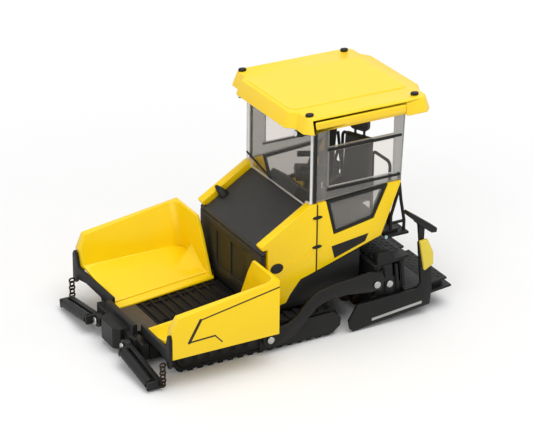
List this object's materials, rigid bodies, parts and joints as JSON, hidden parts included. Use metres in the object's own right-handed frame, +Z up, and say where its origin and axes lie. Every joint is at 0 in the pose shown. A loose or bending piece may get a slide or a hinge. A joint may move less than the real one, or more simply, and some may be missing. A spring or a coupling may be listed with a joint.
{
  "type": "scale model of a tracked asphalt paver",
  "caption": "Scale model of a tracked asphalt paver: folding hopper wings, drooping push rollers, canopied operator stand, augers, and a towed screed with sliding extensions.",
  "frame": {"origin": "on the ground, under the middle of the model's length and width", "axes": "+X forward towards the hopper, +Y to the left of the machine, +Z up"},
  "size_m": [0.1084, 0.066, 0.0724],
  "materials": {
    "yellow_paint": "gloss",
    "canopy_yellow": "gloss",
    "black_paint": "satin",
    "hopper_plate": "satin",
    "black_plastic": "satin",
    "hood_charcoal": "matte",
    "track_rubber": "matte",
    "rivet_silver": "polished",
    "chain_steel": "worn",
    "engine_grey": "satin",
    "seat_plastic": "matte",
    "clear_pane": "clear",
    "smoked_pane": "smoked",
    "mesh_pane": "smoked"
  },
  "bodies": {
    "machine": {"track_left": "track_rubber", "track_right": "track_rubber", "track_frame_left": "black_paint", "track_frame_right": "black_paint", "chassis": "black_paint", "conveyor": "hopper_plate", "front_plate": "hopper_plate", "front_beam": "black_paint", "rivets": "rivet_silver", "engine_block": "engine_grey", "hood": "hood_charcoal", "hood_front": "black_plastic", "side_panel_left": "yellow_paint", "side_panel_right": "yellow_paint", "cab_side_left": "yellow_paint", "cab_side_right": "yellow_paint", "lower_window_frames": "black_plastic", "lower_windows": "mesh_pane", "skirts": "black_plastic", "rear_body": "black_plastic", "platform": "black_plastic", "rear_steps": "black_plastic", "instrument_desk": "black_plastic", "seats": "seat_plastic", "windscreen": "clear_pane", "side_glazing": "smoked_pane", "side_panes": "clear_pane", "glazing_trim": "black_plastic", "canopy": "canopy_yellow", "awnings": "canopy_yellow", "roof_lamps": "black_plastic", "work_lamps": "black_plastic", "handrails": "black_paint", "auger_gearbox": "black_plastic"},
    "wing_left": {"wing_left": "yellow_paint", "apron_left": "black_plastic"},
    "push_arm_left": {"push_arm_left": "black_plastic", "chain_left": "chain_steel"},
    "push_roller_left": {"push_roller_left": "black_plastic"},
    "extension_left": {"extension_left": "black_plastic", "end_plate_left": "black_plastic", "control_box_left": "yellow_paint", "walkway_left": "black_plastic"},
    "auger_left": {"auger_left": "chain_steel"},
    "wing_right": {"wing_right": "yellow_paint", "apron_right": "black_plastic"},
    "push_arm_right": {"push_arm_right": "black_plastic", "chain_right": "chain_steel"},
    "push_roller_right": {"push_roller_right": "black_plastic"},
    "extension_right": {"extension_right": "black_plastic", "end_plate_right": "black_plastic", "control_box_right": "yellow_paint", "walkway_right": "black_plastic"},
    "auger_right": {"auger_right": "chain_steel"},
    "screed": {"screed": "black_plastic", "screed_deck": "black_plastic", "tow_arms": "black_paint", "arm_rivets": "rivet_silver"}
  },
  "joints": [
    {"name": "wing_left_fold", "type": "hinge", "parent": "machine", "child": "wing_left", "pos_m": [0.0467, 0.0086, 0.0075], "axis": [0.9963, 0, -0.0859], "range_deg": [0, 45]},
    {"name": "wing_right_fold", "type": "hinge", "parent": "machine", "child": "wing_right", "pos_m": [0.0467, -0.0086, 0.0075], "axis": [-0.9963, 0, 0.0859], "range_deg": [0, 45]},
    {"name": "push_arm_left_lift", "type": "hinge", "parent": "machine", "child": "push_arm_left", "pos_m": [0.0504, 0.0093, 0.0049], "axis": [1, 0, 0], "range_deg": [0, 12]},
    {"name": "push_arm_right_lift", "type": "hinge", "parent": "machine", "child": "push_arm_right", "pos_m": [0.0504, -0.0093, 0.0049], "axis": [-1, 0, 0], "range_deg": [0, 12]},
    {"name": "push_roller_left_spin", "type": "hinge", "parent": "push_arm_left", "child": "push_roller_left", "pos_m": [0.0527, 0.0093, 0.0049], "axis": [0, 0.9903, -0.1392], "continuous": true},
    {"name": "push_roller_right_spin", "type": "hinge", "parent": "push_arm_right", "child": "push_roller_right", "pos_m": [0.0527, -0.0093, 0.0049], "axis": [0, 0.9903, 0.1392], "continuous": true},
    {"name": "screed_lift", "type": "hinge", "parent": "machine", "child": "screed", "pos_m": [0.011, 0, 0.0047], "axis": [0, 1, 0], "range_deg": [0, 5]},
    {"name": "extension_left_slide", "type": "slide", "parent": "screed", "child": "extension_left", "axis": [0, 1, 0], "range_m": [0, 0.014]},
    {"name": "extension_right_slide", "type": "slide", "parent": "screed", "child": "extension_right", "axis": [0, -1, 0], "range_m": [0, 0.014]},
    {"name": "auger_left_spin", "type": "hinge", "parent": "machine", "child": "auger_left", "pos_m": [-0.0209, 0.012, 0.0088], "axis": [0, 1, 0], "continuous": true},
    {"name": "auger_right_spin", "type": "hinge", "parent": "machine", "child": "auger_right", "pos_m": [-0.0209, -0.012, 0.0088], "axis": [0, 1, 0], "continuous": true}
  ]
}
